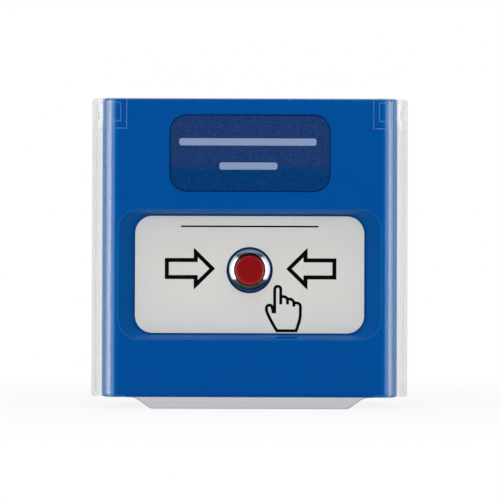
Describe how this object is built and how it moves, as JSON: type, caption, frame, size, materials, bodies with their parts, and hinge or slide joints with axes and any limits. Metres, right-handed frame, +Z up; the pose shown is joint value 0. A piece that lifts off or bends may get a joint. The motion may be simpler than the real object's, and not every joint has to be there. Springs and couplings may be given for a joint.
{
  "type": "manual call point",
  "caption": "Wall-mounted square manual call point: blue housing with a tinted window, a recessed push button on a white plate and a clear cover that flips up.",
  "frame": {"origin": "middle of the back face, on the wall", "axes": "+Y into the wall, so the front faces -Y; +Z up; +X to the right seen from the front"},
  "size_m": [0.1068, 0.0499, 0.1041],
  "materials": {
    "blue_plastic": "smooth moulded ABS",
    "black_rubber": "matt",
    "screw_steel": "zinc plated",
    "nut_brass": "nickel plated",
    "tinted_lens": "fine matt, translucent when lit",
    "white_plastic": "matt",
    "legend_white": "satin print",
    "bezel_chrome": "polished",
    "cap_red": "satin",
    "black_plastic": "matt",
    "contact_brass": "bright",
    "board_green": "solder mask",
    "led_white": "clear resin",
    "terminal_green": "matt",
    "resistor_beige": "lacquered",
    "clear_plastic": "clear polycarbonate"
  },
  "bodies": {
    "root": {"back_box": "blue_plastic", "cable_grommet": "black_rubber", "housing_seal": "black_rubber", "front_housing": "blue_plastic", "housing_screws": "screw_steel", "window_lens": "tinted_lens", "light_diffuser": "white_plastic", "light_box": "white_plastic", "legend_plate": "legend_white", "button_bezel": "bezel_chrome", "button_spring": "screw_steel", "lock_washer": "screw_steel", "button_nut": "nut_brass", "switch_body": "black_plastic", "switch_pins": "contact_brass", "circuit_board": "board_green", "board_screws": "screw_steel", "backlight_leds": "led_white", "terminal_block": "terminal_green", "terminal_screws": "screw_steel", "line_resistors": "resistor_beige", "hinge_pin_left": "screw_steel", "hinge_pin_right": "screw_steel"},
    "button": {"button_cap": "cap_red", "stem_clip": "screw_steel", "contact_bridge": "contact_brass"},
    "cover": {"flip_cover": "clear_plastic"}
  },
  "joints": [
    {"name": "cover_hinge", "type": "hinge", "parent": "root", "child": "cover", "pos_m": [0, -0.032, 0.04545], "axis": [-1, 0, 0], "range_deg": [0, 135]},
    {"name": "button_press", "type": "slide", "parent": "root", "child": "button", "axis": [0, 1, 0], "range_m": [0, 0.0018], "stiffness_N_per_m": 700, "springref_m": -0.0015, "deforming": ["button_spring"]}
  ]
}
